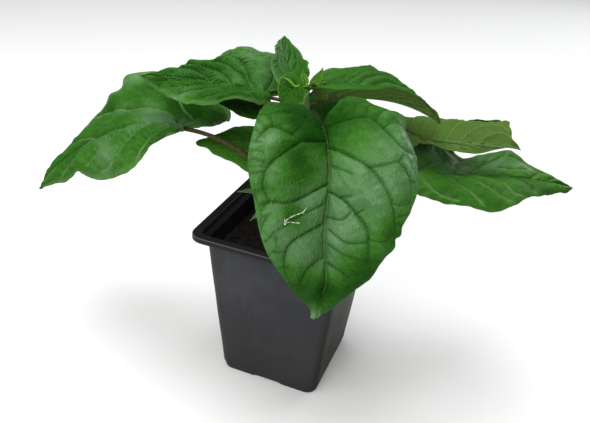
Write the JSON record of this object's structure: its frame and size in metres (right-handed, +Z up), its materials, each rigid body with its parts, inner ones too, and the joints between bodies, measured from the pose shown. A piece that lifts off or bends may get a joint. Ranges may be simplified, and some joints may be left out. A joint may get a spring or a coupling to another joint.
{
  "type": "potted chilli pepper plant",
  "caption": "Young chilli pepper plant with broad, pointed, puckered green leaves on long stalks, rooted in compost in a square black plastic nursery pot.",
  "frame": {"origin": "centre of the pot's underside, on the surface it stands on", "axes": "+Z up along the stem, +X and +Y along the sides of the square pot, the large hanging leaf towards -Y"},
  "size_m": [0.3031, 0.1631, 0.1899],
  "materials": {
    "pot_plastic": "satin",
    "compost": "matte",
    "stem": "satin",
    "leaf": "satin",
    "young_leaf": "satin"
  },
  "bodies": {
    "root": {"pot": "pot_plastic", "soil": "compost", "stem": "stem", "leaf_front": "leaf", "leaf_upper_left": "leaf", "leaf_far_left": "leaf", "leaf_lower_left": "leaf", "leaf_upright": "leaf", "leaf_arching_right": "leaf", "leaf_back_right": "leaf", "leaf_right": "leaf", "leaf_behind_left": "leaf", "leaf_back": "leaf", "young_leaf_front": "young_leaf", "young_leaf_right": "young_leaf", "tip_leaf_back": "young_leaf", "tip_leaf_front": "young_leaf", "cotyledon_left": "young_leaf", "cotyledon_front": "young_leaf"}
  },
  "joints": []
}
